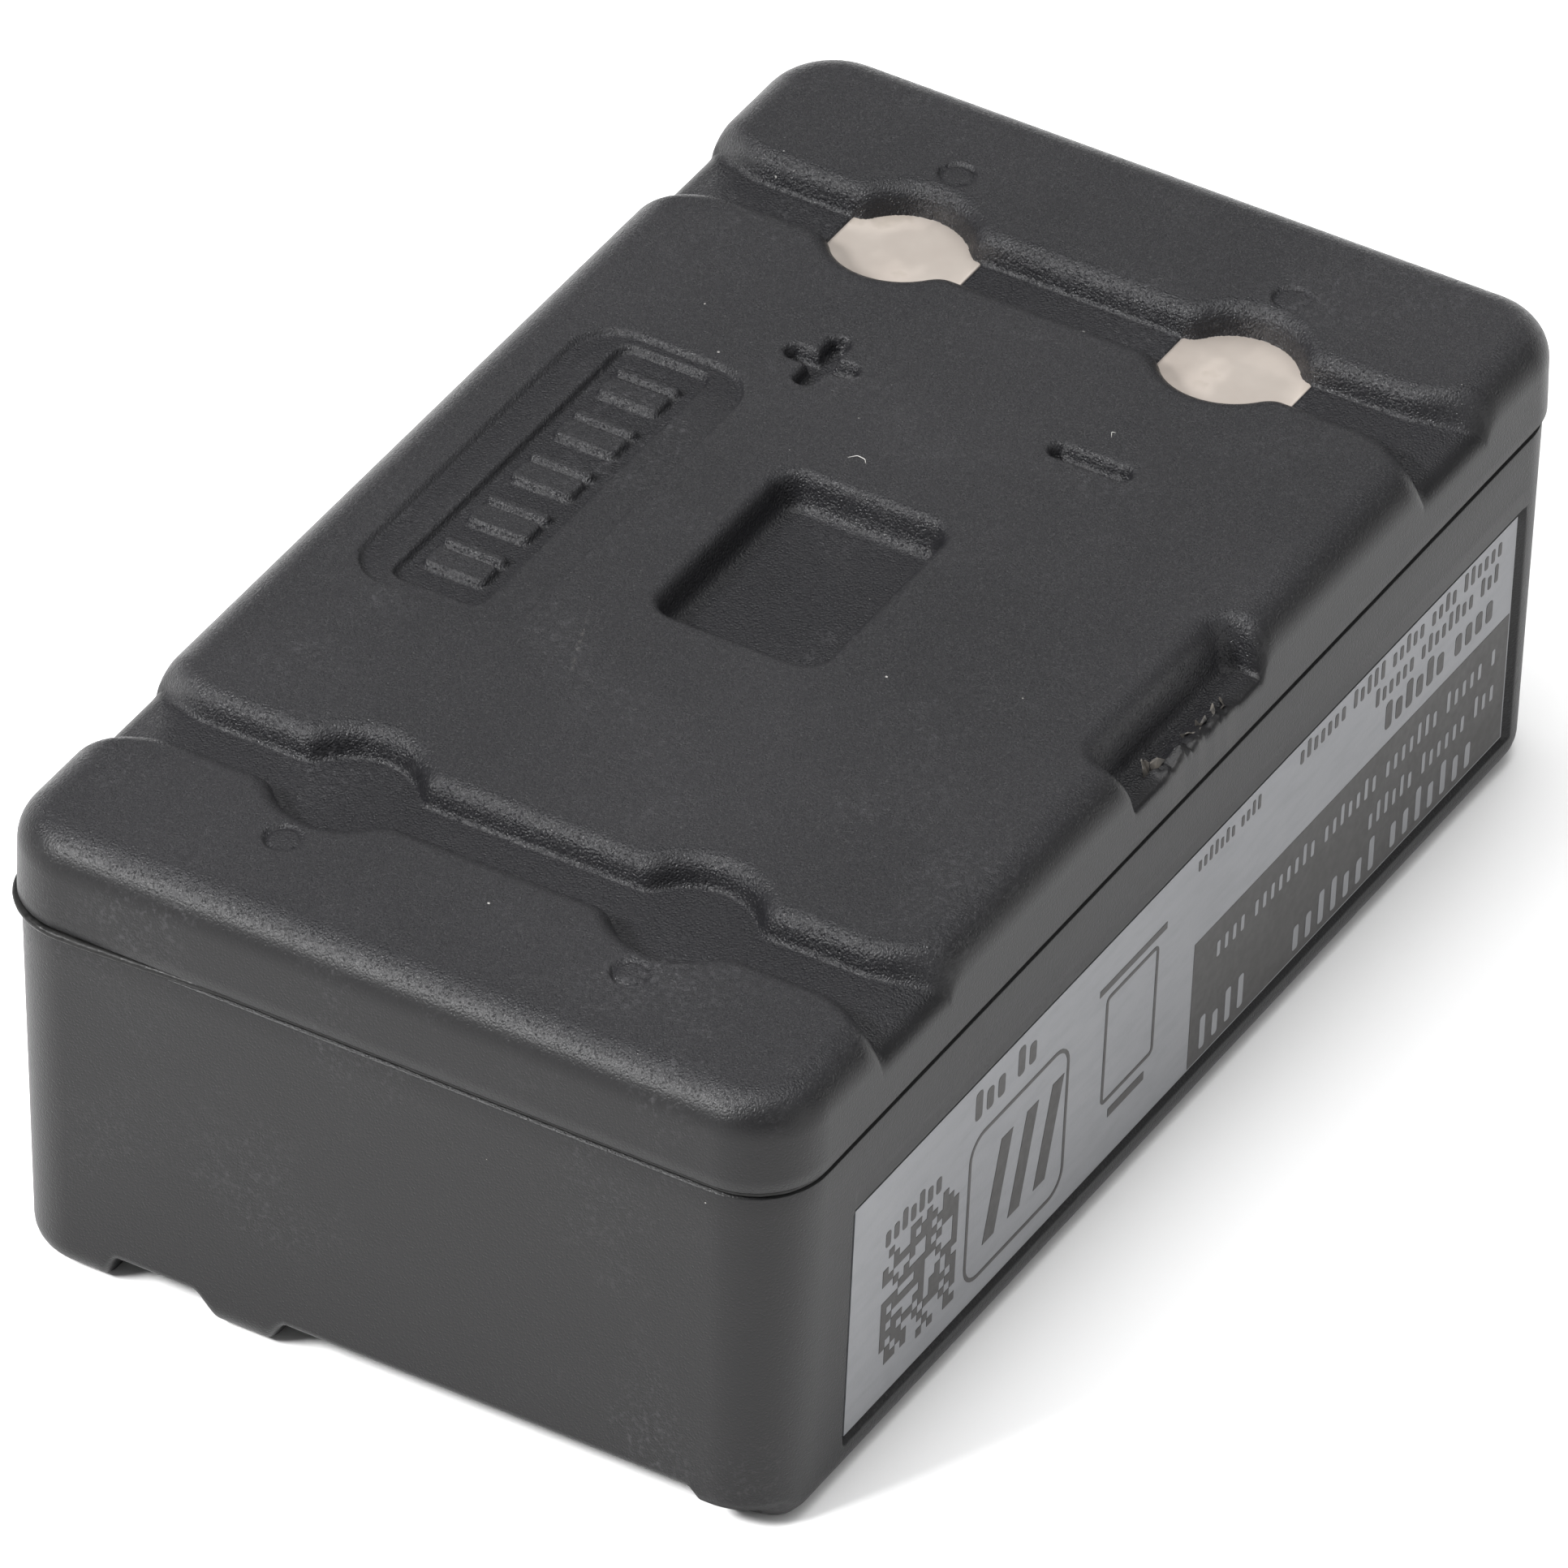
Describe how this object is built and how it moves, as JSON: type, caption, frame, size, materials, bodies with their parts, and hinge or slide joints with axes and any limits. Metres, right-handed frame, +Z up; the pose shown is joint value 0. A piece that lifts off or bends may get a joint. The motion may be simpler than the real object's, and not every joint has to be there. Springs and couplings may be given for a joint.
{
  "type": "rechargeable battery pack",
  "caption": "Sealed prismatic rechargeable battery pack with two flush contacts on its top face, for a hand-held radio remote control",
  "frame": {"origin": "bottom centre of the overall box, on the faces of the underside rails", "axes": "+X along the length toward the contacts, +Y toward the plain long side, +Z up out of the contact face; the label is on the -Y side"},
  "size_m": [0.066, 0.0384, 0.0228],
  "materials": {
    "case_plastic": "fine spark-eroded grain, satin black",
    "seal_elastomer": "smooth black",
    "label_foil": "metallised silver film with dark grey print",
    "contact_nickel": "nickel plate, slightly smudged",
    "gasket_rubber": "matte",
    "nickel_strip": "bright strip",
    "fuse_polymer": "amber wrap",
    "insulating_card": "pressed card",
    "foam_pad": "closed-cell foam",
    "plated_steel": "nickel-plated steel",
    "electrode": "wound electrode pack",
    "cell_gasket": "moulded nylon",
    "shrink_sleeve": "heat-shrunk film"
  },
  "bodies": {
    "root": {"housing_base": "case_plastic", "housing_cover": "case_plastic", "seam_seal": "seal_elastomer", "rating_label": "label_foil", "contact_plate_pos": "contact_nickel", "contact_plate_neg": "contact_nickel", "contact_seal_pos": "gasket_rubber", "contact_seal_neg": "gasket_rubber", "tab_positive": "nickel_strip", "tab_negative_lower": "nickel_strip", "thermal_fuse": "fuse_polymer", "tab_negative_upper": "nickel_strip", "series_link": "nickel_strip", "cell_spacer": "insulating_card", "floor_pad": "foam_pad", "end_pad_near": "foam_pad", "end_pad_far": "foam_pad", "cell_a_can": "plated_steel", "cell_a_electrode_roll": "electrode", "cell_a_gasket": "cell_gasket", "cell_a_lid_plate": "plated_steel", "cell_a_vent_plug": "gasket_rubber", "cell_a_cap": "plated_steel", "cell_a_end_washer": "insulating_card", "cell_a_sleeve": "shrink_sleeve", "cell_b_can": "plated_steel", "cell_b_electrode_roll": "electrode", "cell_b_gasket": "cell_gasket", "cell_b_lid_plate": "plated_steel", "cell_b_vent_plug": "gasket_rubber", "cell_b_cap": "plated_steel", "cell_b_end_washer": "insulating_card", "cell_b_sleeve": "shrink_sleeve"}
  },
  "joints": []
}
